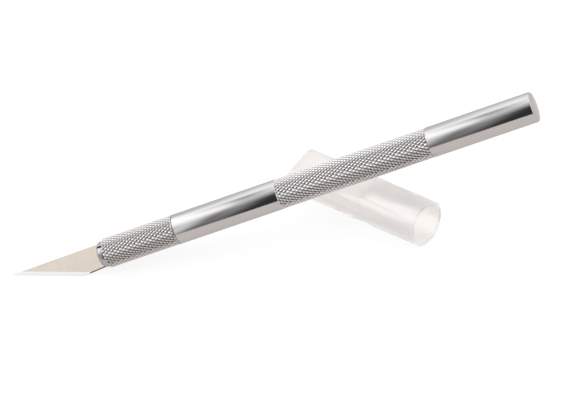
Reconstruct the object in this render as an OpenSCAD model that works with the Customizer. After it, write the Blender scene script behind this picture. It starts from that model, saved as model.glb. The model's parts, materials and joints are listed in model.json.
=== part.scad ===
// Precision craft knife with a screw-down split collet, a pointed blade and a
// loose safety cap. The knife lies on its collar's front rim and across the flat of the cap.
// Inside each knife module +Z runs along the rod towards its tail, and z = 0 is the
// front face of the collar. Inside the cap module +Z runs from the mouth to the closed end.

/* [Handle] */
// Diameter of the aluminium rod
rod_d = 8; // [7.4:0.1:9]
// Length of the rod behind the collar
rod_len = 99.8; // [90:0.2:120]
// Smooth length in front of the grip
front_len = 29.3; // [25:0.1:34]
// Length of the knurled grip
grip_len = 41.6; // [36:0.1:46]
// Radius of the rounded rim at the tail
tail_round = 0.6; // [0.3:0.05:1]
// Chamfer on the front rim of the rod
rod_chamfer = 0.3; // [0.15:0.05:0.5]
// Depth of the screw hole in the front of the rod
bore_depth = 20; // [18:0.5:28]

/* [Collar] */
// Length of the knurled collar
collar_len = 20.2; // [18.5:0.1:24]
// Radius of the collar's front rim
collar_round = 0.35; // [0.2:0.05:0.4]
// Length of the plain ring behind the collar's knurl
collar_ring = 0.5; // [0.3:0.1:1]
// Chamfer on the collar's back rim
collar_chamfer = 0.15; // [0.1:0.05:0.3]

/* [Knurl] */
// Number of grooves of each hand around the rod
knurl_starts = 28; // [24:1:32]
// Length of one diamond along the rod
knurl_pitch = 1.57; // [1.2:0.01:2]
// Depth of the grooves
knurl_depth = 0.22; // [0.12:0.01:0.3]
// How far the points of the knurl lie below the smooth rod
knurl_drop = 0.02; // [0.01:0.01:0.04]
// How far the core under a knurl lies below its grooves
knurl_relief = 0.04; // [0.02:0.01:0.06]
// Length of the bevel between the grip and the smooth rod
grip_bevel = 0.45; // [0.3:0.05:0.7]

/* [Collet] */
// Diameter of the jaws at their nose
nose_d = 6.9; // [6.6:0.1:7]
// How far the nose stands out of the collar
nose_out = 1.95; // [1:0.05:2.4]
// Radius of the rounded nose
nose_round = 1.2; // [0.5:0.05:1.4]
// Straight part of the nose inside the collar
nose_land = 0.6; // [0.4:0.1:1]
// Length of the cone behind the nose
cone_len = 6.4; // [5:0.1:8]
// Diameter of the neck behind the cone
neck_d = 5; // [4.8:0.1:5.4]
// Where the neck ends, behind the collar's front
neck_end = 17.6; // [16.5:0.1:18]
// Outer diameter of the threaded shank
shank_d = 4; // [3.6:0.1:4.4]
// Length of the threaded shank
shank_len = 18; // [16:0.5:20]
// Depth of the saw cut that makes the jaws, behind the collar's front
slot_depth = 14.6; // [14:0.1:16]
// Width of the second cut, which parts the jaws again
cross_cut_w = 0.4; // [0.2:0.05:0.6]
// Turn of the second cut from the blade's slot
cross_cut_turn = 61.5; // [45:0.5:90]

/* [Blade] */
// Thickness of the blade
blade_t = 0.5; // [0.4:0.05:0.6]
// How far the tip stands out of the collar
blade_out = 27.4; // [26:0.2:30]
// Distance along the rod's axis from the tip to the heel
edge_run = 19.7; // [18:0.1:21]
// Height of the tip above the rod's axis, on the spine's side
tip_rise = 2.6; // [2.4:0.05:2.7]
// Drop of the heel below the rod's axis
heel_drop = 3.8; // [3.6:0.05:4]
// Drop of the lower edge where it enters the collet
root_drop = 3.3; // [3.1:0.05:3.35]
// Height of the spine where it enters the collet
spine_rise = 2.8; // [2.6:0.05:3]
// Width of the ground bevel along the cutting edge
bevel_w = 1; // [0.7:0.1:1.4]
// Flat left on the cutting edge
edge_land = 0.02; // [0.01:0.01:0.04]
// Width of the tang
tang_w = 4.7; // [4.2:0.1:4.8]
// Length of the tang inside the collar
tang_len = 13; // [12:0.2:13.6]
// Length of the slanted shoulders between the body and the tang
tang_step = 1.2; // [0.8:0.1:1.6]
// Width of the long hole in the tang
tang_slot_w = 1.6; // [1.2:0.1:2]
// Length of the long hole in the tang
tang_slot_len = 7; // [5:0.5:8]

/* [Cap] */
// Outer diameter of the cap
cap_d = 12.1; // [11.6:0.1:13]
// Length of the cap
cap_len = 41; // [38:0.5:46]
// Wall of the cap
cap_wall = 0.9; // [0.7:0.05:1.1]
// Wall at the closed end
cap_end_wall = 1; // [0.8:0.1:1.4]
// Radius of the corners of the closed end, seen from above
cap_corner = 1; // [0.6:0.1:1.6]
// Distance from the mouth to the top of the shoulder
shoulder_at = 16.5; // [15:0.5:18]
// Angle of the shoulder to the cap's axis
shoulder_angle = 58; // [50:1:65]
// Height of the flat above the cap's axis at the shoulder
flat_high = 4.85; // [4.7:0.05:5]
// Height of the flat above the cap's axis at the closed end
flat_low = 3.85; // [3.6:0.05:4.1]
// Number of grip ribs inside the cap
rib_count = 4; // [3:1:5]
// Width of a grip rib
rib_w = 1.5; // [1.2:0.1:2]
// Distance from the mouth to the front of a grip rib
rib_at = 5.8; // [4:0.2:8]
// Length of a grip rib
rib_len = 13; // [10:0.5:15]

/* [Fits] */
// Gap all round a piece that turns or slides in another
fit_gap = 0.05; // [0.02:0.01:0.1]
// Gap between the back of the collar and the rod
joint_gap = 0.03; // [0.02:0.01:0.06]
// Gap on each side of the blade in the collet
blade_gap = 0.03; // [0.02:0.01:0.05]
// Gap between the rod and the flat that it lies on
rest_gap = 0.15; // [0.1:0.05:0.3]
// Gap between the collar and the grip ribs when the cap is on
rib_gap = 0.05; // [0.02:0.01:0.1]

/* [Layout] */
// Angle between the cap and the knife, seen from above
cap_turn = 41.5; // [36:0.5:48]
// Distance from the collar's front to the crossing with the cap, seen from above
cross_out = 68.2; // [65:0.1:72]
// Distance from the cap's mouth to the crossing
cross_in = 22.2; // [20:0.2:24]

/* [Hidden] */
// Facets of the round shapes
round_fn = 96;
// How far a cut runs past the face that it opens
cut_over = 0.5;
// Half the angle of a drill point
drill_half_angle = 59;

rod_r = rod_d / 2;
nose_r = nose_d / 2;
neck_r = neck_d / 2;
shank_r = shank_d / 2;
cap_r = cap_d / 2;
bore_r = shank_r + fit_gap;
knurl_peak = rod_r - knurl_drop;
knurl_root = knurl_peak - knurl_depth - knurl_relief;
rod_front = collar_len + joint_gap;
rod_tail = collar_len + joint_gap + rod_len;
grip_start = rod_front + front_len;
grip_end = grip_start + grip_len;
grip_run_out = grip_bevel + knurl_depth;
ring_start = collar_len - collar_ring;
ring_full = ring_start + knurl_depth;
ring_end = collar_len - collar_chamfer;
cone_end = nose_land + cone_len;
slot_w = blade_t + 2 * blade_gap;
shank_chamfer = shank_r / 5;
neck_bevel = neck_r - shank_r;
drill_tip = bore_r / tan(drill_half_angle);

// Where the cap's shoulder meets its flat
shoulder_run = (cap_r - flat_high) / tan(shoulder_angle);
flat_at = shoulder_at + shoulder_run;
flat_slope = (flat_high - flat_low) / (cap_len - flat_at);
rib_r = rod_r + rib_gap;

// How the knife lies: the collar's front rim rests on the table, the rod clears every
// point of the flat's rim, and the cutting edge is level, a little above the table.
function flat_height(s) = flat_high - flat_slope * (s - flat_at);
function flat_half(s) = sqrt(pow(cap_r, 2) - pow(flat_height(s), 2));
function plan_x(s, side) = cross_out - (s - cross_in) * cos(cap_turn) + side * sin(cap_turn);
function plan_y(s, side) = (s - cross_in) * sin(cap_turn) + side * cos(cap_turn);
function rim_reach(y) = sqrt(pow(rod_r + rest_gap, 2) - pow(y, 2));
function rim_tilt(x, y, z) =
    abs(y) < rod_r + rest_gap ? atan2(z, x) + asin(rim_reach(y) / norm([x, z])) : 0;
rim_steps = 24;
rim_points = [
    for (step = [0:rim_steps], side = [-1, 1])
        let (s = flat_at + (cap_len - flat_at) * step / rim_steps)
        [plan_x(s, side * flat_half(s)), plan_y(s, side * flat_half(s)), cap_r + flat_height(s)]
];
tilt_tries = 8;
function axis_height(angle) =
    (knurl_peak - collar_round) * cos(angle) + collar_round * (1 - sin(angle));
function settled(angle, tries) =
    tries == 0 ? angle
        : settled(max([for (p = rim_points) rim_tilt(p.x, p.y, p.z - axis_height(angle))]), tries - 1);
tilt = settled(0, tilt_tries);
lean = acos(edge_run * tan(tilt) / (tip_rise + heel_drop));

// Extremes of the knife and cap as they lie, for the origin under their middle
tip_x = -blade_out * cos(tilt) - tip_rise * cos(lean) * sin(tilt);
tail_axis = rod_tail - tail_round;
tail_x = tail_axis * cos(tilt) + (rod_r - tail_round) * sin(tilt) + tail_round;
mouth_y = plan_y(0, -cap_r);
end_y = plan_y(cap_len - cap_corner, cap_r - cap_corner) + cap_corner;
middle_x = (tip_x + tail_x) / 2;
middle_y = (mouth_y + end_y) / 2;

// Places a knife piece as the knife lies
module knife_seat()
    translate([-middle_x, -middle_y, axis_height(tilt)])
        rotate([0, 90 - tilt, 0])
            rotate([0, 0, -lean])
                children();

// Places the cap as it lies, with its flat upwards
module cap_seat()
    translate([cross_out - middle_x, -middle_y, cap_r])
        rotate([0, 0, -cap_turn])
            translate([cross_in, 0, 0])
                rotate([0, -90, 0])
                    children();

// Cuts a revolved outline's outer corner round: up is 1 for a top rim, -1 for a bottom rim
module rim_cut(r, z, round, up)
    difference() {
        translate([r - round, up > 0 ? z - round : z - cut_over])
            square(round + cut_over);
        translate([r - round, z - up * round])
            circle(r = round, $fn = round_fn);
    }

// One corner of the knurl's net: corners are in turn a peak and a crossing of two grooves
function knurl_point(row, column, z, row_step) =
    let (
        r = (row + column) % 2 == 0 ? knurl_peak - knurl_depth : knurl_peak,
        turn = column * 180 / knurl_starts
    )
    [r * cos(turn), r * sin(turn), z + row * row_step];

// Two faces of one cell of the net, parted along the groove
function knurl_cell(row, column) =
    let (
        columns = 2 * knurl_starts,
        next = (column + 1) % columns,
        a = row * columns + column,
        b = row * columns + next,
        c = (row + 1) * columns + next,
        d = (row + 1) * columns + column
    )
    (row + column) % 2 == 0 ? [[a, c, b], [a, d, c]] : [[a, d, b], [b, d, c]];

// A bar with a diamond knurl from z to z_end, made of flat-sided diamonds. Where it
// meets a smooth part it runs on inside that, so the grooves run out on its bevel.
module knurl(z, z_end) {
    length = z_end - z;
    columns = 2 * knurl_starts;
    rows = round(2 * length / knurl_pitch);
    last = rows * columns;
    points = [
        for (row = [0:rows], column = [0:columns - 1])
            knurl_point(row, column, z, length / rows)
    ];
    sides = [
        for (row = [0:rows - 1], column = [0:columns - 1], face = knurl_cell(row, column))
            face
    ];
    bottom = [for (column = [0:columns - 1]) column];
    top = [for (column = [0:columns - 1]) last + columns - 1 - column];
    polyhedron(points = points, faces = concat(sides, [bottom, top]));
}

// The rod: knurled grip, rounded tail and a blind screw hole in its front
module handle()
    color("silver")
        knife_seat() {
            rotate_extrude($fn = round_fn)
                difference() {
                    polygon([
                        [0, rod_front],
                        [rod_r - rod_chamfer, rod_front],
                        [rod_r, rod_front + rod_chamfer],
                        [rod_r, grip_start - grip_bevel],
                        [knurl_root, grip_start],
                        [knurl_root, grip_end],
                        [rod_r, grip_end + grip_bevel],
                        [rod_r, rod_tail],
                        [0, rod_tail]
                    ]);
                    rim_cut(rod_r, rod_tail, tail_round, 1);
                    polygon([
                        [0, rod_front - cut_over],
                        [bore_r, rod_front - cut_over],
                        [bore_r, rod_front + bore_depth],
                        [0, rod_front + bore_depth + drill_tip]
                    ]);
                }
            knurl(grip_start - grip_run_out, grip_end + grip_run_out);
        }

// The knurled sleeve with the taper that closes the jaws
module collar()
    color("silver")
        knife_seat()
            difference() {
                union() {
                    knurl(-cut_over, (ring_full + ring_end) / 2);
                    rotate_extrude($fn = round_fn)
                        polygon([
                            [0, cone_end],
                            [knurl_root, cone_end],
                            [knurl_root, ring_start],
                            [rod_r, ring_full],
                            [rod_r, ring_end],
                            [rod_r - collar_chamfer, collar_len],
                            [0, collar_len]
                        ]);
                }
                rotate_extrude($fn = round_fn)
                    union() {
                        rim_cut(rod_r, 0, collar_round, -1);
                        translate([0, -2 * cut_over])
                            square([rod_r + cut_over, 2 * cut_over]);
                        polygon([
                            [0, -cut_over],
                            [nose_r + fit_gap, -cut_over],
                            [nose_r + fit_gap, nose_land],
                            [neck_r + fit_gap, cone_end],
                            [neck_r + fit_gap, collar_len + cut_over],
                            [0, collar_len + cut_over]
                        ]);
                    }
            }

// The collet: rounded nose, cone, neck and threaded shank, sawn into jaws by two cuts
module collet()
    color("silver")
        knife_seat()
            difference() {
                rotate_extrude($fn = round_fn)
                    union() {
                        translate([0, -nose_out])
                            square([nose_r - nose_round, nose_out]);
                        translate([0, nose_round - nose_out])
                            square([nose_r, nose_out + nose_land - nose_round]);
                        intersection() {
                            translate([nose_r - nose_round, nose_round - nose_out])
                                circle(r = nose_round, $fn = round_fn);
                            translate([0, -nose_out])
                                square([nose_r, nose_out + nose_land]);
                        }
                        polygon([
                            [0, 0],
                            [nose_r, 0],
                            [nose_r, nose_land],
                            [neck_r, cone_end],
                            [neck_r, neck_end - neck_bevel],
                            [shank_r, neck_end],
                            [shank_r, neck_end + shank_len - shank_chamfer],
                            [shank_r - shank_chamfer, neck_end + shank_len],
                            [0, neck_end + shank_len]
                        ]);
                    }
                saw_cut(slot_w);
                rotate([0, 0, cross_cut_turn])
                    saw_cut(cross_cut_w);
            }

// A cut of a given width across the nose, down to the end of the jaws
module saw_cut(width)
    translate([-nose_r - cut_over, -width / 2, -nose_out - cut_over])
        cube([nose_d + 2 * cut_over, width, nose_out + cut_over + slot_depth]);

// Cuts one side of the ground bevel: side is 1 or -1
module bevel_cut(side)
    translate([-tip_rise, 0, -blade_out])
        rotate([0, atan2(tip_rise + heel_drop, edge_run), 0])
            translate([0, side * edge_land / 2, 0])
                rotate([0, 0, -side * atan2((blade_t - edge_land) / 2, bevel_w)])
                    translate([-bevel_w * 2, side > 0 ? 0 : -blade_t, -edge_run])
                        cube([bevel_w * 4, blade_t, edge_run * 3]);

// The blade: slanted cutting edge with a ground bevel, and a tang with a long hole
module blade()
    color("tan")
        knife_seat()
            difference() {
                translate([0, blade_t / 2, 0])
                    rotate([90, 0, 0])
                        linear_extrude(blade_t)
                            difference() {
                                polygon([
                                    [-tip_rise, -blade_out],
                                    [heel_drop, edge_run - blade_out],
                                    [root_drop, 0],
                                    [tang_w / 2, tang_step],
                                    [tang_w / 2, tang_len],
                                    [-tang_w / 2, tang_len],
                                    [-tang_w / 2, tang_step],
                                    [-spine_rise, 0]
                                ]);
                                tang_slot();
                            }
                bevel_cut(1);
                bevel_cut(-1);
            }

// The long hole in the tang, with round ends
module tang_slot() {
    slot_middle = (tang_step + tang_len) / 2;
    slot_half = (tang_slot_len - tang_slot_w) / 2;
    translate([-tang_slot_w / 2, slot_middle - slot_half])
        square([tang_slot_w, 2 * slot_half]);
    for (end = [-1, 1])
        translate([0, slot_middle + end * slot_half])
            circle(d = tang_slot_w, $fn = round_fn);
}

// The outline of the cap from its side: along the axis, then up, drawn in by inset
module cap_side(inset, end_inset, mouth_over) {
    top = cap_r - inset;
    high = flat_high - inset;
    low = flat_low - inset;
    step_at = shoulder_at + inset / tan(shoulder_angle) - inset / sin(shoulder_angle);
    polygon([
        [-mouth_over, -cap_r - cut_over],
        [-mouth_over, top + cut_over],
        [step_at - cut_over / tan(shoulder_angle), top + cut_over],
        [step_at + (top - high) / tan(shoulder_angle), high],
        [cap_len - end_inset, low],
        [cap_len - end_inset, -cap_r - cut_over]
    ]);
}

// The outline of the cap from above: across, then along the axis, with rounded corners
module cap_plan(r, end_inset, mouth_over) {
    end_at = cap_len - end_inset;
    corner = cap_corner - (cap_r - r) / 2;
    translate([-r, -mouth_over])
        square([2 * r, end_at - corner + mouth_over]);
    translate([corner - r, -mouth_over])
        square([2 * (r - corner), end_at + mouth_over]);
    for (side = [-1, 1])
        translate([side * (r - corner), end_at - corner])
            circle(r = corner, $fn = round_fn);
}

// A round bar with the cap's shoulder, flat and closed end, drawn in by inset
module cap_form(inset, end_inset, mouth_over)
    intersection() {
        translate([0, 0, -mouth_over])
            cylinder(r = cap_r - inset, h = cap_len - end_inset + mouth_over, $fn = round_fn);
        rotate([-90, -90, 0])
            translate([0, 0, -cap_d])
                linear_extrude(2 * cap_d)
                    cap_side(inset, end_inset, mouth_over);
        rotate([90, 0, 90])
            translate([0, 0, -cap_d])
                linear_extrude(2 * cap_d)
                    cap_plan(cap_r - inset, end_inset, mouth_over);
    }

// One grip rib: a bar with a round front, pointing along +X out of the cap's axis
module grip_rib()
    rotate([90, 0, 90])
        linear_extrude(cap_d) {
            translate([-rib_w / 2, rib_at + rib_w / 2])
                square([rib_w, rib_len - rib_w / 2]);
            translate([0, rib_at + rib_w / 2])
                circle(d = rib_w, $fn = round_fn);
        }

// The safety cap: a round tube with one flat, closed at its far end, with grip ribs
module safety_cap()
    color("whitesmoke")
        cap_seat() {
            difference() {
                cap_form(0, 0, 0);
                cap_form(cap_wall, cap_end_wall, cut_over);
            }
            intersection() {
                cap_form(cap_wall / 2, cap_end_wall / 2, 0);
                difference() {
                    for (i = [0:rib_count - 1])
                        rotate([0, 0, (i + 1 / 2) * 360 / rib_count])
                            grip_rib();
                    cylinder(r = rib_r, h = cap_len, $fn = round_fn);
                }
            }
        }

handle();
collar();
collet();
blade();
safety_cap();
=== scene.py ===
"""Looks of a slim aluminium craft knife that lies across its frosted safety cap.

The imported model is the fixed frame. Each sub-assembly is a class that turns, rolls,
cuts and dresses its own pieces. Knife pieces are made along +Z, which runs to the tail
from zero at the collar's front face, with +X on the cutting edge's side. The cap is
made along +Z from its mouth to its closed end, with +X on its flat's side.
Sizes are in millimetres, and angles in degrees.
"""

from __future__ import annotations

import json
import logging
from dataclasses import dataclass, field
from enum import Enum
from math import atan2, cos, pi, radians, sin, tan, tau
from typing import Callable, Sequence

import bmesh
import bpy
from mathutils import Matrix, Vector

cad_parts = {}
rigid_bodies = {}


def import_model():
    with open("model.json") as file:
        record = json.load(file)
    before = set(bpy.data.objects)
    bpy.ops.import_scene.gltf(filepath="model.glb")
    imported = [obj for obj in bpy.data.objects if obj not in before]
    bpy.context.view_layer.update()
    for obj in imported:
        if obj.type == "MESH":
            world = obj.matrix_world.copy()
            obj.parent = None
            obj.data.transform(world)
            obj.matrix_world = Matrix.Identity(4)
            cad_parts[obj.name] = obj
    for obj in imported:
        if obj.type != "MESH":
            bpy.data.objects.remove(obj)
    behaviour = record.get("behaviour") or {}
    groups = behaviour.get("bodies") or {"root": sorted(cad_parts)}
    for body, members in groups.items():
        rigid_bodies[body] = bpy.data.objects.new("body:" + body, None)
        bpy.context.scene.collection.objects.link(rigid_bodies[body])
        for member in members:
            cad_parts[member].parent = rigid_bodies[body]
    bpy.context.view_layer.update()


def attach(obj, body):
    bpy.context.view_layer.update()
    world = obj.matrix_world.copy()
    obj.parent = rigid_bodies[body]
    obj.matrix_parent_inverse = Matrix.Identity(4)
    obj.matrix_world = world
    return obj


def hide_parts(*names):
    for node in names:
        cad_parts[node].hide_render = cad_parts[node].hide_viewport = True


LOG = logging.getLogger("craft_knife")
MM = 0.001
NEAR = 1e-6  # in metres, how near two places are when they count as one
FACING = 0.99  # the least share of a normal along the direction that a face looks in
SHARP = 25.0  # edges that are sharper than this are rounded
SMOOTH = 30.0  # edges that are softer than this are shaded smooth
KNURL_SMOOTH = 20.0  # the same for the edges of a knurl's diamonds
Piece = bpy.types.Object
Socket = bpy.types.NodeSocket
Profile = list[tuple[float, float]]
Colour = tuple[float, float, float]


class Body(Enum):
    """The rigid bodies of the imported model, each with one node of the same name."""

    HANDLE = "handle"
    COLLAR = "collar"
    COLLET = "collet"
    BLADE = "blade"
    CAP = "safety_cap"


class Slot(Enum):
    """The record's material slots, each with the name that its body has above."""

    HANDLE = "handle"
    COLLAR = "collar"
    COLLET = "collet"
    BLADE = "blade"
    CAP = "cap"


class Pick(Enum):
    """What is selected in edit mode."""

    VERT = "VERT"
    EDGE = "EDGE"
    FACE = "FACE"


class Tint(Enum):
    """The tints of the soft boxes' light."""

    COOL = (0.98, 1.0, 1.02)
    NEUTRAL = (1.0, 1.0, 1.0)
    WARM = (1.15, 0.98, 0.97)


class Join(Enum):
    """How one solid meets another."""

    CUT = "DIFFERENCE"
    KEEP_COMMON = "INTERSECT"
    FUSE = "UNION"


class Steel(Enum):
    """The finishes of the blade's faces, by material index."""

    ROLLED = 0
    GROUND = 1
    # partly the sheared steel's own tone, partly painted shade along the lower edge
    SHEARED_AND_SHADED = 2
    # a honed strip, painted darker as shade along the cutting edge
    HONED_AND_SHADED = 3


Sky = tuple[tuple[float, float] | tuple[float, float, Tint], ...]


@dataclass(frozen=True)
class Resting:
    """How the knife and the cap lie on the table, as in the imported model.

    The knife's axis rises by the tilt, and its blade is turned about it by the lean.
    """

    tilt: float = 9.956738
    lean: float = 57.291828
    height: float = 3.86481
    middle_x: float = 45.794427
    middle_y: float = -1.332242
    cap_turn: float = 41.5
    cap_cross: float = 68.2
    cap_mouth: float = 22.2
    cap_r: float = 6.05

    def knife(self) -> Matrix:
        """Returns the matrix from the knife's own frame to the model's."""
        return (
            Matrix.Translation(
                (-self.middle_x * MM, -self.middle_y * MM, self.height * MM)
            )
            @ Matrix.Rotation(radians(90 - self.tilt), 4, "Y")
            @ Matrix.Rotation(radians(-self.lean), 4, "Z")
        )

    def cap(self) -> Matrix:
        """Returns the matrix from the cap's own frame to the model's."""
        out = (self.cap_cross - self.middle_x) * MM
        return (
            Matrix.Translation((out, -self.middle_y * MM, self.cap_r * MM))
            @ Matrix.Rotation(radians(-self.cap_turn), 4, "Z")
            @ Matrix.Translation((self.cap_mouth * MM, 0, 0))
            @ Matrix.Rotation(radians(-90), 4, "Y")
        )


class Bench:
    """The moves of hand modelling: drawing, selecting, shaping, joining, finishing."""

    @staticmethod
    def clear() -> None:
        """Leaves edit mode and deselects everything."""
        if bpy.context.mode != "OBJECT":
            bpy.ops.object.mode_set(mode="OBJECT")
        bpy.ops.object.select_all(action="DESELECT")

    @staticmethod
    def hold(piece: Piece) -> None:
        """Makes one piece the only selected and the active one."""
        Bench.clear()
        piece.select_set(True)
        bpy.context.view_layer.objects.active = piece

    @staticmethod
    def edit(piece: Piece, pick: Pick) -> None:
        """Opens a piece in edit mode with nothing selected."""
        Bench.hold(piece)
        bpy.ops.object.mode_set(mode="EDIT")
        bpy.ops.mesh.select_mode(type=pick.value)
        bpy.ops.mesh.select_all(action="DESELECT")

    @staticmethod
    def select_all() -> None:
        """Selects all of the open piece."""
        bpy.ops.mesh.select_all(action="SELECT")

    @staticmethod
    def select(pick: Pick, test: Callable[..., bool]) -> None:
        """Selects the elements of the open piece that pass a test.

        Args:
            pick: which kind of element is tested.
            test: takes the element and says whether it is selected.
        """
        bpy.ops.mesh.select_mode(type=pick.value)
        bpy.ops.mesh.select_all(action="DESELECT")
        net = bmesh.from_edit_mesh(bpy.context.edit_object.data)
        rows = {Pick.VERT: net.verts, Pick.EDGE: net.edges, Pick.FACE: net.faces}
        for part in [part for part in rows[pick] if test(part)]:
            part.select_set(True)
        net.select_flush_mode()
        bmesh.update_edit_mesh(bpy.context.edit_object.data)

    @staticmethod
    def take(name: str) -> Piece:
        """Names what was just drawn, writes its place into its mesh and returns it."""
        bpy.ops.object.transform_apply()
        piece = bpy.context.active_object
        piece.name = name
        return piece

    @staticmethod
    def ring(name: str, r: float, z: float, around: int) -> Piece:
        """Draws a ring about the Z axis and opens it, with all of it selected."""
        Bench.clear()
        bpy.ops.mesh.primitive_circle_add(
            vertices=around, radius=r * MM, fill_type="NOTHING", location=(0, 0, z * MM)
        )
        piece = Bench.take(name)
        Bench.edit(piece, Pick.VERT)
        Bench.select_all()
        return piece

    @staticmethod
    def bar(
        name: str,
        r: float,
        length: float,
        middle: Sequence[float],
        turn: Sequence[float] = (0, 0, 0),
        around: int = 32,
    ) -> Piece:
        """Makes a round bar.

        Args:
            name: the bar's name.
            r: its radius.
            length: its length, along Z before it is turned.
            middle: where its middle is.
            turn: its turns about X, Y and Z.
            around: how many chords it has.

        Returns:
            The bar.
        """
        Bench.clear()
        bpy.ops.mesh.primitive_cylinder_add(
            vertices=around,
            radius=r * MM,
            depth=length * MM,
            location=[place * MM for place in middle],
            rotation=[radians(angle) for angle in turn],
        )
        return Bench.take(name)

    @staticmethod
    def block(name: str, low: Sequence[float], high: Sequence[float]) -> Piece:
        """Makes a block between two opposite corners."""
        Bench.clear()
        bpy.ops.mesh.primitive_cube_add(
            size=1,
            location=[(a + b) / 2 * MM for a, b in zip(low, high)],
            scale=[(b - a) * MM for a, b in zip(low, high)],
        )
        return Bench.take(name)

    @staticmethod
    def draw_on(rise: float, share: float | None = None, at: float = 0) -> None:
        """Draws the selected edges on along Z and, by a share, in or out.

        Args:
            rise: how far they are drawn on.
            share: their new distance from the axis, as a share of the old one.
            at: where they are along the axis when they are drawn in or out.
        """
        bpy.ops.mesh.extrude_edges_move(
            TRANSFORM_OT_translate={"value": (0, 0, rise * MM)}
        )
        if share is not None:
            bpy.ops.transform.resize(
                value=(share, share, 1), center_override=(0, 0, at * MM)
            )

    @staticmethod
    def close(piece: Piece) -> None:
        """Merges doubles, fills open ends and points the faces outwards."""
        Bench.edit(piece, Pick.VERT)
        Bench.select_all()
        bpy.ops.mesh.remove_doubles(threshold=0.0005 * MM)
        Bench.select_all()
        bpy.ops.mesh.fill_holes(sides=0)
        Bench.select_all()
        bpy.ops.mesh.normals_make_consistent(inside=False)
        Bench.clear()

    @staticmethod
    def apply(piece: Piece, kind: str, **settings: object) -> None:
        """Adds one modifier to a piece, sets it and applies it."""
        Bench.hold(piece)
        modifier = piece.modifiers.new(kind.title(), kind)
        for key, value in settings.items():
            setattr(modifier, key, value)
        bpy.ops.object.modifier_apply(modifier=modifier.name)

    @staticmethod
    def soften(
        piece: Piece, width: float, steps: int = 2, angle: float = SHARP
    ) -> None:
        """Rounds the edges that are sharper than an angle."""
        Bench.apply(
            piece,
            "BEVEL",
            width=width * MM,
            segments=steps,
            limit_method="ANGLE",
            angle_limit=radians(angle),
        )

    @staticmethod
    def shave(point: Vector, outward: Vector) -> None:
        """Cuts off what lies outward of a plane on the open piece, and closes it."""
        Bench.select_all()
        bpy.ops.mesh.bisect(
            plane_co=point * MM,
            plane_no=outward,
            use_fill=True,
            clear_outer=True,
            threshold=1e-9,
        )

    @staticmethod
    def join(piece: Piece, tool: Piece, how: Join) -> None:
        """Cuts, trims or fuses a piece with a tool solid, which is then gone."""
        Bench.apply(piece, "BOOLEAN", object=tool, operation=how.value, solver="EXACT")
        bpy.data.objects.remove(tool)

    @staticmethod
    def settle(piece: Piece, move: Matrix) -> None:
        """Moves a piece and writes its place into its mesh."""
        Bench.hold(piece)
        piece.matrix_world = move @ piece.matrix_world
        bpy.ops.object.transform_apply()

    @staticmethod
    def finish(piece: Piece, place: Matrix, smooth: float = SMOOTH) -> None:
        """Sets a piece in its place in the model and shades it."""
        Bench.settle(piece, place)
        bpy.ops.object.shade_smooth_by_angle(angle=radians(smooth))


class Lathe:
    """Turns profiles of (radius, place along the axis) into shells, ring by ring."""

    @staticmethod
    def corner(
        r: float, z: float, radius: float, start: float, steps: int = 6
    ) -> Profile:
        """Gives the points of a quarter round.

        Args:
            r: the round's middle, out from the axis.
            z: the round's middle, along the axis.
            radius: the round's radius.
            start: the direction that it starts in, 0 outwards and 90 to the tail.
            steps: how many chords it has.

        Returns:
            The points, which go a quarter turn on towards larger angles.
        """
        turns = [radians(start + 90 * step / steps) for step in range(steps + 1)]
        return [(r + radius * cos(a), z + radius * sin(a)) for a in turns]

    @staticmethod
    def turn(name: str, profile: Profile, around: int = 160) -> Piece:
        """Turns a profile into a closed shell.

        Args:
            name: the piece's name.
            profile: the points, whose last is the first again on a piece with a bore.
            around: how many chords each ring has.

        Returns:
            The shell, made about the Z axis.
        """
        r, z = profile[0]
        piece = Bench.ring(name, r, z, around)
        for next_r, next_z in profile[1:]:
            Bench.draw_on(next_z - z, next_r / r, next_z)
            r, z = next_r, next_z
        Bench.close(piece)
        return piece


@dataclass(frozen=True)
class Knurl:
    """The diamonds that are rolled into the grip and the collar."""

    starts: int = 28
    pitch: float = 1.57
    valley_r: float = 3.83
    floor: float = 0.03
    flank: float = 0.26
    flank_rise: float = 0.125
    crown: float = 0.04
    crown_rise: float = 0.015
    sleeve_r: float = 3.6

    def roll(self, name: str, start: float, end: float) -> Piece:
        """Rolls the diamonds into a sleeve.

        Args:
            name: the piece's name.
            start: where the sleeve starts along the axis.
            end: where it ends.

        Returns:
            The sleeve, made about the Z axis.
        """
        rows = round((end - start) / self.pitch)
        step = (end - start) / rows
        piece = Bench.ring(name, self.valley_r, start, self.starts)
        for _ in range(rows):
            Bench.draw_on(step)
        Bench.select_all()
        bpy.ops.mesh.normals_make_consistent(inside=False)
        self._cross(self.starts * (rows + 1))
        self._raise()
        self._line(piece)
        return piece

    def _cross(self, corners: int) -> None:
        """Turns the open piece's upright net of so many corners into diamonds."""
        sag = self.valley_r * (1 - cos(pi / self.starts))
        bpy.ops.mesh.poke(offset=sag * MM, center_mode="MEDIAN")
        Bench.select(
            Pick.EDGE,
            lambda edge: not edge.is_boundary
            and all(corner.index < corners for corner in edge.verts),
        )
        bpy.ops.mesh.dissolve_edges(use_verts=False)

    def _raise(self) -> None:
        """Raises each whole diamond of the open piece from its grooves to its crown.

        The half ones at the ends have three corners, and stay low.
        """
        Bench.select(Pick.FACE, lambda face: len(face.verts) == 4)
        for width, rise in (
            (self.floor, 0),
            (self.flank, self.flank_rise),
            (self.crown, self.crown_rise),
        ):
            bpy.ops.mesh.inset(
                thickness=width * MM,
                depth=rise * MM,
                use_individual=True,
                use_even_offset=True,
            )

    def _line(self, piece: Piece) -> None:
        """Turns the open ends in and joins them by the sleeve's inner wall."""
        Bench.select(Pick.EDGE, lambda edge: edge.is_boundary)
        Bench.draw_on(0, self.sleeve_r / self.valley_r)
        bpy.ops.mesh.bridge_edge_loops()
        Bench.close(piece)


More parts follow.
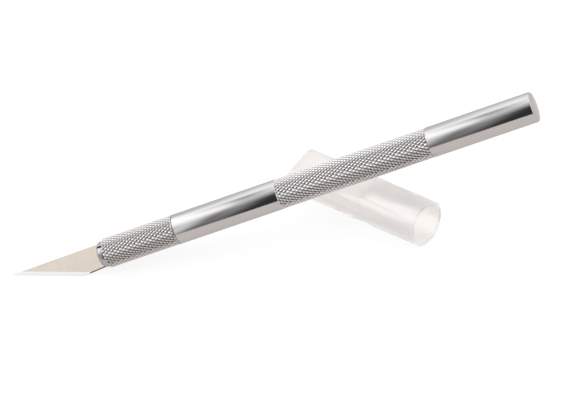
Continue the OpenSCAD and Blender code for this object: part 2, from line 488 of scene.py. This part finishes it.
class Nodes:
    """Builds a node tree from left to right."""

    def __init__(self, tree: bpy.types.NodeTree) -> None:
        """Empties a node tree for building."""
        self.tree = tree
        tree.nodes.clear()

    def feed(self, target: Socket, value: object) -> None:
        """Links an output to an input, or sets the input to a constant."""
        if isinstance(value, Socket):
            self.tree.links.new(value, target)
        elif target.type == "RGBA":
            target.default_value = (*value, 1)
        else:
            target.default_value = value

    def add(self, kind: str, **settings: object) -> bpy.types.Node:
        """Adds a node.

        Args:
            kind: the node's type, without its leading ShaderNode.
            settings: its properties, and then what feeds its inputs, whose names have
                underscores for spaces and start with a capital.

        Returns:
            The node.
        """
        name = kind if kind.startswith("NodeGroup") else "ShaderNode" + kind
        node = self.tree.nodes.new(name)
        for key, value in settings.items():
            if key[0].isupper():
                self.feed(node.inputs[key.replace("_", " ")], value)
            else:
                setattr(node, key, value)
        return node

    def chain(self, kind: str, *values: object, **settings: object) -> bpy.types.Node:
        """Adds a node whose first inputs are fed in order, and returns it."""
        node = self.add(kind, **settings)
        for place, value in enumerate(values):
            self.feed(node.inputs[place], value)
        return node

    def math(self, operation: str, *values: Socket | float) -> Socket:
        """Adds a Math node and returns its result."""
        return self.chain("Math", *values, operation=operation).outputs[0]

    def weigh(self, one: Socket, other: Socket, share: float) -> Socket:
        """Adds up two values, the first by its share and the other by the rest."""
        return self.math(
            "ADD",
            self.math("MULTIPLY", one, share),
            self.math("MULTIPLY", other, 1 - share),
        )

    def spread(self, value: Socket, middle: float, width: float) -> Socket:
        """Turns a value from 0 to 1 into one that varies about a middle."""
        return self.math("MULTIPLY_ADD", value, width, middle - width / 2)

    def smooth(self, value: Socket, low: float, high: float) -> Socket:
        """Adds a soft step from 0 at a low value to 1 at a high one and returns it."""
        node = self.add(
            "MapRange",
            interpolation_type="SMOOTHSTEP",
            Value=value,
            From_Min=low,
            From_Max=high,
        )
        return node.outputs["Result"]

    def blend(
        self, share: Socket, low: Socket | Colour, high: Socket | Colour
    ) -> Socket:
        """Adds a mix of two colours by a share and returns it."""
        node = self.add("Mix", data_type="RGBA")
        for place, value in ((0, share), (6, low), (7, high)):
            self.feed(node.inputs[place], value)
        return node.outputs[2]

    def noise(self, vector: Socket, **settings: object) -> Socket:
        """Adds a noise over a vector and returns its value."""
        return self.add("TexNoise", Vector=vector, **settings).outputs[0]

    def bump(self, height: Socket, relief: float) -> Socket:
        """Adds a relief of so many millimetres and returns its normal."""
        node = self.add("Bump", Strength=1.0, Distance=relief * MM, Height=height)
        return node.outputs[0]

    def ramp(self, value: Socket, stops: Sequence[tuple[float, Colour]]) -> Socket:
        """Adds a colour ramp with stops of (place, colour) and returns its colour."""
        node = self.chain("ValToRGB", value)
        band = node.color_ramp
        while len(band.elements) > 1:
            band.elements.remove(band.elements[-1])
        band.elements[0].position = stops[0][0]
        band.elements[0].color = (*stops[0][1], 1)
        for place, colour in stops[1:]:
            band.elements.new(place).color = (*colour, 1)
        return node.outputs[0]


class TurnedGrain:
    """The fine rings and short streaks that a lathe leaves, as a shader node group.

    Its vector is in metres in the piece's own frame, with +Z along the lathe's axis.
    """

    name = "turned_grain"
    ring_scale = 3000.0
    ring_share = 0.45
    streak_scale = 1500.0
    stretch = (1.0, 1.0, 2.2)

    def group(self) -> bpy.types.NodeTree:
        """Returns the group, which is built when it is first asked for."""
        found = bpy.data.node_groups.get(self.name)
        if found:
            return found
        tree = bpy.data.node_groups.new(self.name, "ShaderNodeTree")
        face = tree.interface
        face.new_socket("Vector", in_out="INPUT", socket_type="NodeSocketVector")
        for name in ("Height", "Shade"):
            face.new_socket(name, in_out="OUTPUT", socket_type="NodeSocketFloat")
        nodes = Nodes(tree)
        vector = nodes.add("NodeGroupInput").outputs["Vector"]
        along = nodes.add("SeparateXYZ", Vector=vector).outputs["Z"]
        rings = nodes.add(
            "TexNoise",
            noise_dimensions="1D",
            W=nodes.math("MULTIPLY", along, self.ring_scale),
            Scale=1.0,
            Detail=3.0,
            Roughness=0.6,
        )
        drawn_out = nodes.add("Mapping", Scale=self.stretch, Vector=vector)
        streaks = nodes.noise(
            drawn_out.outputs[0], Scale=self.streak_scale, Detail=2.0, Roughness=0.55
        )
        both = nodes.weigh(rings.outputs[0], streaks, self.ring_share)
        nodes.add("NodeGroupOutput", Height=both, Shade=streaks)
        return tree


@dataclass(frozen=True)
class Finish:
    """A material whose pattern is fixed to the frame that its pieces are made in."""

    name: str
    light: Colour
    dark: Colour
    roughness: float
    relief: float

    def make(self, place: Matrix) -> bpy.types.Material:
        """Makes the material for pieces that are seated by a matrix."""
        material = bpy.data.materials.new(self.name)
        material.use_nodes = True
        nodes = Nodes(material.node_tree)
        own = nodes.add(
            "Mapping",
            vector_type="TEXTURE",
            Location=place.to_translation(),
            Rotation=place.to_euler(),
            Vector=nodes.add("TexCoord").outputs["Object"],
        )
        surface = self.surface(nodes, own.outputs[0])
        nodes.add("OutputMaterial", Surface=surface.outputs[0])
        return material

    def surface(self, nodes: Nodes, own: Socket) -> bpy.types.Node:
        """Builds the surface on the vector of the piece's own frame."""
        raise NotImplementedError


@dataclass(frozen=True)
class TurnedAluminium(Finish):
    """Bare aluminium off the lathe: satin gloss with fine rings around the axis."""

    light: Colour = (0.465, 0.458, 0.458)
    dark: Colour = (0.43, 0.423, 0.423)
    roughness: float = 0.13
    relief: float = 0.0012
    edge: float = 0.75
    unevenness: float = 0.08

    def surface(self, nodes: Nodes, own: Socket) -> bpy.types.Node:
        """Builds the metal with its rings, and its shine at the edges held back."""
        grain = nodes.add("Group", node_tree=TurnedGrain().group(), Vector=own)
        shade = grain.outputs["Shade"]
        return nodes.add(
            "BsdfPrincipled",
            Metallic=1.0,
            Specular_Tint=(self.edge,) * 3,
            Base_Color=self.colour(nodes, own, shade),
            Roughness=nodes.spread(shade, self.roughness, self.unevenness),
            Normal=nodes.bump(grain.outputs["Height"], self.relief),
        )

    def colour(self, nodes: Nodes, own: Socket, shade: Socket) -> Socket:
        """Gives the metal's colour, which varies with the grain's shade."""
        return nodes.blend(shade, self.dark, self.light)


@dataclass(frozen=True)
class PaintedShadeRolledAluminium(TurnedAluminium):
    """The same metal on a knurl, with painted shade in its grooves and a painted
    highlight on its crests.
    """

    # The painted highlight of the crests and the painted shade of the grooves.
    light: Colour = (0.86, 0.845, 0.845)
    dark: Colour = (0.28, 0.272, 0.272)
    roughness: float = 0.16
    painted_shade_r: float = 3.84
    painted_highlight_r: float = 3.95

    def colour(self, nodes: Nodes, own: Socket, shade: Socket) -> Socket:
        """Gives the metal's colour by the distance from the axis, from painted shade to
        painted highlight.
        """
        across = nodes.chain("VectorMath", own, (1.0, 1.0, 0.0), operation="MULTIPLY")
        radius = nodes.chain("VectorMath", across.outputs[0], operation="LENGTH")
        share = nodes.smooth(
            radius.outputs["Value"], self.painted_shade_r * MM, self.painted_highlight_r * MM
        )
        return nodes.blend(share, self.dark, self.light)


@dataclass(frozen=True)
class BladeSteel(Finish):
    """Satin carbon steel, whose colour varies finely and broadly over a face."""

    fine_share: float = 0.6

    def surface(self, nodes: Nodes, own: Socket) -> bpy.types.Node:
        """Builds the metal with a relief of fine and broad noise."""
        fine = nodes.noise(own, Scale=1700.0, Detail=3.0, Roughness=0.6)
        broad = nodes.noise(own, Scale=260.0, Detail=2.0)
        both = nodes.weigh(fine, broad, self.fine_share)
        return nodes.add(
            "BsdfPrincipled",
            Metallic=1.0,
            Roughness=self.roughness,
            Base_Color=nodes.blend(both, self.dark, self.light),
            Normal=nodes.bump(both, self.relief),
        )


@dataclass(frozen=True)
class FrostedPlastic(Finish):
    """Moulded polypropylene, milky and half clear, with a satin skin.

    Its cover is the share of the surface that doesn't let the view straight through.
    """

    name: str = "frosted_polypropylene"
    light: Colour = (0.99, 0.987, 0.983)
    dark: Colour = (0.975, 0.971, 0.966)
    roughness: float = 0.3
    relief: float = 0.004
    unevenness: float = 0.06
    clear: float = 0.94
    cover: float = 0.6
    ior: float = 1.49

    def surface(self, nodes: Nodes, own: Socket) -> bpy.types.Node:
        """Builds the plastic with its clouds and its skin."""
        cloud = nodes.noise(own, Scale=140.0, Detail=2.0)
        skin = nodes.noise(own, Scale=1400.0, Detail=2.0)
        return nodes.add(
            "BsdfPrincipled",
            IOR=self.ior,
            Transmission_Weight=self.clear,
            Alpha=self.cover,
            Base_Color=nodes.blend(cloud, self.dark, self.light),
            Roughness=nodes.spread(cloud, self.roughness, self.unevenness),
            Normal=nodes.bump(skin, self.relief),
        )


@dataclass
class SubAssembly:
    """A group of pieces of one rigid body, made in its own frame and then seated."""

    place: Matrix
    body: Body = field(init=False)

    def hand_over(self, piece: Piece, *finishes: Finish) -> None:
        """Dresses a finished piece and lets it ride on its body in its node's stead.

        Args:
            piece: the piece, seated in the model.
            finishes: its finishes, the first for all faces that name no other.
        """
        piece.data.materials.clear()
        for finish in finishes:
            piece.data.materials.append(finish.make(self.place))
        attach(piece, self.body.value)
        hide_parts(self.body.value)
        LOG.info("%s: %d faces", piece.name, len(piece.data.polygons))


@dataclass
class Handle(SubAssembly):
    """The rod: smooth front, rolled grip, smooth tail and a screw hole in its front."""

    body: Body = field(default=Body.HANDLE, init=False)
    rod_r: float = 4.0
    front: float = 20.23
    tail: float = 120.03
    tail_round: float = 0.6
    chamfer: float = 0.16
    grip_start: float = 49.53
    grip_end: float = 91.13
    grip_bevel: float = 0.4
    grip_root: float = 3.6
    run_out: float = 0.67
    hole_r: float = 2.05
    hole_end: float = 40.23
    hole_tip: float = 1.23
    hole_tip_r: float = 0.05
    edge_round: float = 0.04
    knurl: Knurl = field(default_factory=Knurl)

    def rod(self) -> Piece:
        """Turns the rod with the bevelled recess of its grip."""
        r = self.rod_r
        profile = [
            (self.hole_tip_r, self.hole_end + self.hole_tip),
            (self.hole_r, self.hole_end),
            (self.hole_r, self.front),
            (r - self.chamfer, self.front),
            (r, self.front + self.chamfer),
            (r, self.grip_start),
            (self.grip_root, self.grip_start + self.grip_bevel),
            (self.grip_root, self.grip_end),
            (r, self.grip_end + self.grip_bevel),
            *Lathe.corner(
                r - self.tail_round, self.tail - self.tail_round, self.tail_round, 0
            ),
        ]
        rod = Lathe.turn("turned_rod", profile)
        Bench.soften(rod, self.edge_round)
        Bench.finish(rod, self.place)
        return rod

    def grip(self) -> Piece:
        """Rolls the grip, whose ends run on inside the smooth rod."""
        grip = self.knurl.roll(
            "rolled_grip", self.grip_start - self.run_out, self.grip_end + self.run_out
        )
        Bench.finish(grip, self.place, KNURL_SMOOTH)
        return grip

    def build(self) -> None:
        """Makes the rod and its grip."""
        self.hand_over(self.rod(), TurnedAluminium("turned_aluminium"))
        # The grip's knurl has painted shade in its grooves and a painted highlight on
        # its crests.
        self.hand_over(self.grip(), PaintedShadeRolledAluminium("rolled_aluminium_painted_shade"))


@dataclass
class Collar(SubAssembly):
    """The knurled sleeve that is turned by hand to close the jaws."""

    body: Body = field(default=Body.COLLAR, init=False)
    outer_r: float = 4.0
    length: float = 20.2
    rim_round: float = 0.35
    rim_spare: float = 0.02
    ring: float = 0.5
    ring_slope: float = 0.22
    back_chamfer: float = 0.08
    mouth_r: float = 3.5
    mouth_land: float = 0.6
    taper_end: float = 7.0
    bore_r: float = 2.55
    core_r: float = 3.6
    knurl_start: float = -0.4
    knurl_short: float = 0.2
    cut_short: float = 0.18
    edge_round: float = 0.03
    knurl: Knurl = field(default_factory=Knurl)

    def core(self) -> Piece:
        """Turns the bored core with its taper and the plain ring behind the knurl."""
        ring_start = self.length - self.ring
        profile = [
            (self.mouth_r, self.mouth_land),
            (self.mouth_r, 0),
            (self.core_r, 0),
            (self.core_r, ring_start),
            (self.outer_r, ring_start + self.ring_slope),
            (self.outer_r, self.length - self.back_chamfer),
            (self.outer_r - self.back_chamfer, self.length),
            (self.bore_r, self.length),
            (self.bore_r, self.taper_end),
            (self.mouth_r, self.mouth_land),
        ]
        core = Lathe.turn("collar_core", profile)
        Bench.soften(core, self.edge_round)
        Bench.finish(core, self.place)
        return core

    def rolled(self) -> Piece:
        """Rolls the collar's outside and turns its ends off, the front one round.

        The knurl is rolled one pitch too long at each end, so that the half diamonds
        of its ends are turned off.
        """
        spare = self.knurl.pitch
        sleeve = self.knurl.roll(
            "rolled_collar",
            self.knurl_start - spare,
            self.length - self.knurl_short + spare,
        )
        rim = self.outer_r - self.rim_round + self.rim_spare
        inside = 1.0
        barrel = Lathe.turn(
            "rim_gauge",
            [
                (inside, 0),
                *Lathe.corner(rim, self.rim_round, self.rim_round, -90),
                (self.outer_r + self.rim_spare, self.length - self.cut_short),
                (inside, self.length - self.cut_short),
            ],
        )
        Bench.join(sleeve, barrel, Join.KEEP_COMMON)
        Bench.finish(sleeve, self.place, KNURL_SMOOTH)
        return sleeve

    def build(self) -> None:
        """Makes the core and its rolled outside."""
        # The collar's knurl has its own painted highlight on its crests and painted
        # shade in its grooves.
        rolled = PaintedShadeRolledAluminium(
            "collar_rolled_painted_shade", light=(0.79, 0.77, 0.76), dark=(0.26, 0.25, 0.247)
        )
        self.hand_over(self.core(), TurnedAluminium("collar_aluminium"))
        self.hand_over(self.rolled(), rolled)


@dataclass
class Collet(SubAssembly):
    """The jaws that two saw cuts part, their cone and neck, and the threaded shank."""

    body: Body = field(default=Body.COLLET, init=False)
    nose_r: float = 3.45
    nose_out: float = 1.95
    nose_round: float = 1.2
    nose_land: float = 0.6
    first_ring_r: float = 0.3
    cone_end: float = 7.0
    neck_r: float = 2.5
    neck_end: float = 17.6
    neck_slope: float = 0.5
    shank_r: float = 2.0
    shank_len: float = 18.0
    shank_chamfer: float = 0.4
    thread_pitch: float = 0.7
    thread_depth: float = 0.25
    thread_land: float = 0.05
    slot_w: float = 0.56
    slot_depth: float = 14.6
    cross_cut_w: float = 0.65
    cross_cut_turn: float = 61.5
    saw_spare: float = 0.5

    def thread(self) -> Profile:
        """Gives the outline of the shank with the grooves of its thread."""
        start, end = self.neck_end, self.neck_end + self.shank_len
        root, half = self.shank_r - self.thread_depth, self.thread_pitch / 2
        points: Profile = [(self.shank_r, start)]
        place = start + self.thread_pitch
        while place + self.thread_pitch < end:
            points += [
                (self.shank_r, place - half),
                (root, place),
                (self.shank_r, place + half - self.thread_land),
            ]
            place += self.thread_pitch
        chamfer = self.shank_chamfer
        return [*points, (self.shank_r, end - chamfer), (self.shank_r - chamfer, end)]

    def build(self) -> None:
        """Turns the collet and saws its jaws apart by two cuts."""
        profile = [
            (self.first_ring_r, -self.nose_out),
            *Lathe.corner(
                self.nose_r - self.nose_round,
                self.nose_round - self.nose_out,
                self.nose_round,
                start=-90,
                steps=10,
            ),
            (self.nose_r, self.nose_land),
            (self.neck_r, self.cone_end),
            (self.neck_r, self.neck_end - self.neck_slope),
            *self.thread(),
        ]
        collet = Lathe.turn("collet_jaws", profile)
        cuts = ((self.slot_w, 0.0), (self.cross_cut_w, self.cross_cut_turn))
        for cut_w, turn in cuts:
            wide, half = self.nose_r + self.saw_spare, cut_w / 2
            saw = Bench.block(
                "saw", (-wide, -half, -self.nose_out - 1), (wide, half, self.slot_depth)
            )
            Bench.settle(saw, Matrix.Rotation(radians(turn), 4, "Z"))
            Bench.join(collet, saw, Join.CUT)
        Bench.finish(collet, self.place)
        finish = TurnedAluminium(
            "collet_aluminium", (0.38, 0.39, 0.415), (0.33, 0.34, 0.365), 0.2
        )
        self.hand_over(collet, finish)


@dataclass
class Blade(SubAssembly):
    """The pointed blade: ground edge, slanted shoulders and a tang with a long hole."""

    body: Body = field(default=Body.BLADE, init=False)
    thickness: float = 0.5
    blank_low: float = -6.0
    blank_high: float = 7.0
    out: float = 27.4
    edge_run: float = 19.7
    tip_rise: float = 2.7
    heel_drop: float = 3.8
    root_drop: float = 3.3
    spine_rise: float = 3.0
    bevel: float = 1.0
    edge_land: float = 0.02
    hone_w: float = 0.12
    hone_angle: float = 40.0
    break_w: float = 0.25
    break_angle: float = 25.0
    slope_near: float = 0.004
    tang_w: float = 4.7
    tang_len: float = 13.0
    tang_step: float = 1.2
    hole_w: float = 1.6
    hole_len: float = 7.0

    def _lean(self) -> float:
        """Gives the slope of the ground bevel from the blade's side, in radians."""
        return atan2((self.thickness - self.edge_land) / 2, self.bevel)

    def shape(self) -> Piece:
        """Cuts the blade's outline, grinds its edge and draws out its tang."""
        half = self.thickness / 2
        blade = Bench.block(
            "pointed_blade",
            (self.blank_low, -half, -self.out),
            (self.blank_high, half, 0),
        )
        Bench.edit(blade, Pick.VERT)
        tip = Vector((-self.tip_rise, 0, -self.out))
        heel = Vector((self.heel_drop, 0, self.edge_run - self.out))
        root = Vector((self.root_drop, 0, 0))
        spine = Vector((-self.spine_rise, 0, 0))
        side = Vector((0, 1, 0))
        outward = side.cross((heel - tip).normalized())
        Bench.shave(tip, outward)
        sheared = side.cross((root - heel).normalized())
        Bench.shave(heel, sheared)
        Bench.shave(spine, side.cross((tip - spine).normalized()))
        slope = radians(self.break_angle)
        self._grind(heel, sheared, slope, half - self.break_w * tan(slope))
        self._tang()
        lean = self._lean()
        self._grind(tip, outward, lean, self.edge_land / 2)
        rise = self.edge_land / 2 + self.hone_w * tan(lean)
        back = tip - outward * self.hone_w
        self._grind(back, outward, radians(self.hone_angle), rise)
        Bench.select_all()
        bpy.ops.mesh.normals_make_consistent(inside=False)
        Bench.clear()
        return blade

    def _grind(self, point: Vector, outward: Vector, slope: float, rise: float) -> None:
        """Grinds both sides of an edge of the open blade.

        Args:
            point: a point of the edge, midway between the sides.
            outward: the direction out of the edge.
            slope: how steep the ground faces are from the sides, in radians.
            rise: how far from the middle they are at the point.
        """
        for hand in (-1, 1):
            side = Vector((0, hand, 0))
            normal = outward * sin(slope) + side * cos(slope)
            Bench.shave(point + side * rise, normal)

    def _tang(self) -> None:
        """Draws the tang out of the open blade's root."""
        Bench.select(
            Pick.FACE,
            lambda face: face.normal.z > FACING and face.calc_center_median().z > -NEAR,
        )
        step, rest = self.tang_step * MM, (self.tang_len - self.tang_step) * MM
        middle = (self.spine_rise - self.root_drop) / 2 * MM
        share = self.tang_w / (self.root_drop + self.spine_rise)
        bpy.ops.mesh.extrude_region_move(TRANSFORM_OT_translate={"value": (0, 0, step)})
        bpy.ops.transform.translate(value=(middle, 0, 0))
        bpy.ops.transform.resize(value=(share, 1, 1), center_override=(0, 0, step))
        bpy.ops.mesh.extrude_region_move(TRANSFORM_OT_translate={"value": (0, 0, rest)})

    def _hole(self) -> Piece:
        """Makes the tool that punches the long hole in the tang."""
        middle = (self.tang_step + self.tang_len) / 2
        half = (self.hole_len - self.hole_w) / 2
        punch = Bench.bar("punch", self.hole_w / 2, 2, (0, 0, middle), (90, 0, 0))
        Bench.edit(punch, Pick.VERT)
        for end in (-1, 1):
            Bench.select(
                Pick.VERT, lambda corner: (corner.co.z - middle * MM) * end > NEAR
            )
            bpy.ops.transform.translate(value=(0, 0, end * half * MM))
        Bench.clear()
        return punch

    def build(self) -> None:
        """Shapes the blade, punches its tang and dresses its sides and its edge."""
        blade = self.shape()
        Bench.join(blade, self._hole(), Join.CUT)
        marks = [self._finish_of(face.normal) for face in blade.data.polygons]
        Bench.finish(blade, self.place, smooth=10)
        looks = {
            Steel.ROLLED: ((0.78, 0.705, 0.62), (0.55, 0.497, 0.43), 0.35, 0.0015),
            Steel.GROUND: ((0.99, 0.97, 0.94), (0.95, 0.93, 0.9), 0.25, 0.0008),
            # the dark steel of the lower edge, which carries painted shade
            Steel.SHEARED_AND_SHADED: ((0.24, 0.2, 0.15), (0.16, 0.13, 0.1), 0.35, 0.002),
            # the darker steel of the honed strip, painted shade along the cutting edge
            Steel.HONED_AND_SHADED: ((0.42, 0.38, 0.35), (0.36, 0.32, 0.29), 0.3, 0.0008),
        }
        steels = [BladeSteel(f"{of.name.lower()}_steel", *looks[of]) for of in Steel]
        self.hand_over(blade, *steels)
        for face, mark in zip(blade.data.polygons, marks):
            face.material_index = mark.value

    def _finish_of(self, normal: Vector) -> Steel:
        """Says which finish a face has, by how it slopes from the blade's sides."""
        flat = abs(normal.y)

        def slopes(angle: float) -> bool:
            return abs(flat - cos(angle)) < self.slope_near

        # The honed strip takes the darker steel of painted shade.
        if slopes(radians(self.hone_angle)):
            return Steel.HONED_AND_SHADED
        if slopes(self._lean()):
            return Steel.GROUND
        # The lower edge's faces take the dark steel that carries painted shade.
        lower_edge = flat < 0.1 and normal.x > 0.9 and normal.z > 0
        if lower_edge or slopes(radians(self.break_angle)):
            return Steel.SHEARED_AND_SHADED
        return Steel.ROLLED


@dataclass
class SafetyCap(SubAssembly):
    """The moulded cap: a round tube with one flat, a closed end and grip ribs."""

    body: Body = field(default=Body.CAP, init=False)
    outer_r: float = 6.05
    length: float = 41.0
    wall: float = 0.9
    end_wall: float = 1.0
    corner: float = 1.0
    shoulder_at: float = 16.5
    shoulder_angle: float = 58.0
    flat_high: float = 4.85
    flat_low: float = 3.85
    rib_count: int = 4
    rib_w: float = 1.5
    rib_at: float = 5.8
    rib_len: float = 13.0
    rib_r: float = 4.05
    edge_round: float = 0.15

    def _wedge(self, inset: float, end_inset: float) -> Piece:
        """Makes the tool that takes the flat and its shoulder off a round bar.

        Args:
            inset: how far the surface is drawn in from the cap's outside.
            end_inset: how far its closed end is drawn in.

        Returns:
            The tool, a block that lies above the flat and behind the shoulder.
        """
        slant = radians(self.shoulder_angle)
        top, high = self.outer_r - inset, self.flat_high - inset
        step = self.shoulder_at + inset / tan(slant) - inset / sin(slant)
        crease = Vector((high, 0, step + (top - high) / tan(slant)))
        end = Vector((self.flat_low - inset, 0, self.length - end_inset))
        run = (end - crease).normalized()
        # The block reaches well past the bar before its two cuts shape it.
        block = Bench.block(
            "flat_tool",
            (self.outer_r - 4, -self.outer_r - 1, step - 5),
            (self.outer_r + 3, self.outer_r + 1, self.length + 2),
        )
        Bench.edit(block, Pick.VERT)
        Bench.shave(crease, Vector((-run.z, 0, run.x)))
        Bench.shave(crease, Vector((-cos(slant), 0, -sin(slant))))
        Bench.clear()
        return block

    def _form(
        self, name: str, inset: float = 0, end_inset: float = 0, over: float = 0
    ) -> Piece:
        """Makes the cap's solid form, or its hollow when it is drawn in.

        Args:
            name: the solid's name.
            inset: how far its surface is drawn in.
            end_inset: how far its closed end is drawn in.
            over: how far it stands out of the mouth.

        Returns:
            The solid.
        """
        r, end = self.outer_r - inset, self.length - end_inset
        form = Bench.bar(name, r, end + over, (0, 0, (end - over) / 2), around=160)
        Bench.join(form, self._wedge(inset, end_inset), Join.CUT)
        sides = Bench.block("end_gauge", (-r - 1, -r, -over - 1), (r + 1, r, end))
        Bench.edit(sides, Pick.EDGE)
        Bench.select(
            Pick.EDGE,
            lambda edge: all(abs(at.co.z - end * MM) < NEAR for at in edge.verts)
            and abs(edge.verts[0].co.y - edge.verts[1].co.y) < NEAR,
        )
        bpy.ops.mesh.bevel(
            offset=(self.corner - inset / 2) * MM, segments=8, affect="EDGES"
        )
        Bench.join(form, sides, Join.KEEP_COMMON)
        return form

    def rib(self, number: int) -> Piece:
        """Makes one grip rib, which has a round front and is let into the wall."""
        low, high = self.rib_r, self.outer_r - self.wall / 2
        split = self.rib_at + self.rib_w / 2
        middle = ((low + high) / 2, 0, split)
        rib = Bench.bar("rib", self.rib_w / 2, high - low, middle, (0, 90, 0))
        Bench.edit(rib, Pick.VERT)
        Bench.select(Pick.VERT, lambda corner: corner.co.z > split * MM - NEAR)
        bpy.ops.transform.translate(value=(0, 0, (self.rib_len - self.rib_w) * MM))
        turn = radians((number + 0.5) * 360 / self.rib_count)
        Bench.settle(rib, Matrix.Rotation(turn, 4, "Z"))
        return rib

    def build(self) -> None:
        """Moulds the cap with its ribs."""
        cap = self._form("frosted_cap")
        hollow = self._form("hollow", self.wall, self.end_wall, over=0.5)
        Bench.join(cap, hollow, Join.CUT)
        for number in range(self.rib_count):
            Bench.join(cap, self.rib(number), Join.FUSE)
        Bench.soften(cap, self.edge_round, steps=3, angle=35)
        Bench.finish(cap, self.place)
        self.hand_over(cap, FrostedPlastic())


@dataclass(frozen=True)
class Studio:
    """The pale table, the soft light round it and the camera.

    The camera's glow is a level and a share. The skies are arches of light from front
    to back over the table, each with its place from left to right and its stops of
    (angle from the top, level), which are neutral where they name no tint.
    """

    table_size: float = 12.0
    table_white: float = 0.8
    table_glow: float = 0.85
    glow: Colour = (1.0, 0.93, 0.895)
    glow_level: float = 1.18
    camera_glow: tuple[float, float] = (1.08, 0.8)
    camera_at: tuple[float, float, float] = (119.079, -541.050, 608.135)
    camera_right: tuple[float, float, float] = (0.9683604, -0.0600901, -0.2422137)
    camera_up: tuple[float, float, float] = (0.2047935, 0.7459913, 0.6336849)
    camera_back: tuple[float, float, float] = (0.1426111, -0.6632391, 0.7346945)
    lens: float = 201.286
    sensor: float = 36.0
    clip: tuple[float, float] = (0.05, 50.0)
    bounces: int = 16
    sky_strength: float = 2.5
    skies: tuple[tuple[float, Sky], ...] = (
        (-0.7, (
            (-95, 1.05), (-72, 0.55), (-38, 0.55), (-12, 1.9), (5, 2.3), (60, 2.3),
            (82, 1.3), (110, 1.0),
        )),
        (-0.58, (
            (-95, 1.1), (-60, 1.4), (-35, 1.4), (-12, 1.9), (5, 2.3), (60, 2.3),
            (82, 1.3), (110, 1.0),
        )),
        (-0.445, (
            (-90, 0.27, Tint.COOL), (-75, 0.26, Tint.COOL), (-62, 0.32, Tint.WARM),
            (-50, 0.26), (-35, 0.46, Tint.COOL), (-22, 1.0, Tint.COOL), (-10, 1.92),
            (0, 2.1), (12, 1.9), (23, 1.45), (33, 1.62), (44, 1.9, Tint.COOL),
            (60, 1.5), (82, 1.05), (92, 1.3), (105, 2.0),
        )),
        (-0.365, (
            (-90, 0.3, Tint.COOL), (-68, 0.34, Tint.COOL), (-55, 0.48, Tint.WARM),
            (-45, 0.46), (-33, 0.6), (-20, 0.87, Tint.COOL), (-5, 1.1), (5, 1.02),
            (14, 0.62), (24, 0.6), (36, 1.7), (46, 1.84), (60, 1.42), (82, 1.06),
            (92, 1.3), (105, 1.9),
        )),
        (-0.2, (
            (-90, 0.05), (-35, 0.06), (-15, 0.7), (10, 1.8), (50, 1.9), (82, 1.3),
            (110, 1.1),
        )),
        (0.35, ((-90, 0.05), (-35, 0.06), (-15, 0.7), (10, 1.6), (82, 1.5))),
        (0.6, ((-95, 1.0), (-35, 1.2), (40, 1.4), (82, 1.1))),
    )

    def table(self) -> None:
        """Lays the table, which stays white under the picture but keeps the shadow."""
        Bench.clear()
        bpy.ops.mesh.primitive_plane_add(size=self.table_size, location=(0, 0, 0))
        table = Bench.take("table")
        material = bpy.data.materials.new("table_white")
        material.use_nodes = True
        nodes = Nodes(material.node_tree)
        rays = nodes.add("LightPath").outputs
        mirrored = nodes.math(
            "MAXIMUM", rays["Is Glossy Ray"], rays["Is Transmission Ray"]
        )
        shader = nodes.add("BsdfDiffuse", Color=(self.table_white,) * 3).outputs[0]
        for seen, colour, level, share in (
            (rays["Is Camera Ray"], Tint.NEUTRAL.value, *self.camera_glow),
            (mirrored, self.glow, self.glow_level, self.table_glow),
        ):
            glow = nodes.add("Emission", Color=colour, Strength=level).outputs[0]
            part = nodes.math("MULTIPLY", seen, share)
            shader = nodes.chain("MixShader", part, shader, glow).outputs[0]
        nodes.add("OutputMaterial", Surface=shader)
        table.data.materials.append(material)

    def light(self) -> None:
        """Lights the set by the world, whose arches blend from left to right."""
        world = bpy.data.worlds.new("soft_boxes")
        bpy.context.scene.world = world
        world.use_nodes = True
        nodes = Nodes(world.node_tree)
        where = nodes.add("TexCoord").outputs["Generated"]
        parts = nodes.add("SeparateXYZ", Vector=where).outputs
        angle = nodes.math("ARCTAN2", parts["Y"], parts["Z"])
        place = nodes.math("MULTIPLY_ADD", angle, 1 / tau, 0.5)
        colour, last = None, 0.0
        for side, sky in self.skies:
            stops = [(turn / 360 + 0.5, self._lit(*light)) for turn, *light in sky]
            arch = nodes.ramp(place, stops)
            if colour is not None:
                share = nodes.smooth(parts["X"], last, side)
                arch = nodes.blend(share, colour, arch)
            colour, last = arch, side
        back = nodes.add("Background", Color=colour, Strength=self.sky_strength)
        nodes.add("OutputWorld", Surface=back.outputs[0])

    def _lit(self, level: float, tint: Tint = Tint.NEUTRAL) -> Colour:
        """Gives the ramp colour of a level of light with a tint."""
        red, green, blue = (level * share / self.sky_strength for share in tint.value)
        return red, green, blue

    def camera(self) -> None:
        """Sets the camera up where the photograph was taken from."""
        data = bpy.data.cameras.new("camera")
        data.lens, data.sensor_width = self.lens, self.sensor
        data.clip_start, data.clip_end = self.clip
        camera = bpy.data.objects.new("camera", data)
        bpy.context.scene.collection.objects.link(camera)
        axes = Matrix((self.camera_right, self.camera_up, self.camera_back))
        place = Matrix.Translation(Vector(self.camera_at) * MM)
        camera.matrix_world = place @ axes.transposed().to_4x4()
        bpy.context.scene.camera = camera

    def build(self) -> None:
        """Sets up the table, the light and the camera."""
        self.table()
        self.light()
        self.camera()
        bpy.context.scene.view_settings.view_transform = "Standard"
        bpy.context.scene.cycles.max_bounces = self.bounces
        bpy.context.scene.cycles.transmission_bounces = self.bounces


def main() -> None:
    """Builds the knife and its cap in order and reports each piece."""
    logging.basicConfig(level=logging.INFO, format="%(name)s %(message)s")
    for thing in list(bpy.data.objects):
        bpy.data.objects.remove(thing)
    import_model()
    resting = Resting()
    for part in (
        Handle(resting.knife()),
        Collar(resting.knife()),
        Collet(resting.knife()),
        Blade(resting.knife()),
        SafetyCap(resting.cap()),
    ):
        part.build()
        LOG.info("%s is dressed", part.body.value)
    Studio().build()


if __name__ == "__main__":
    main()
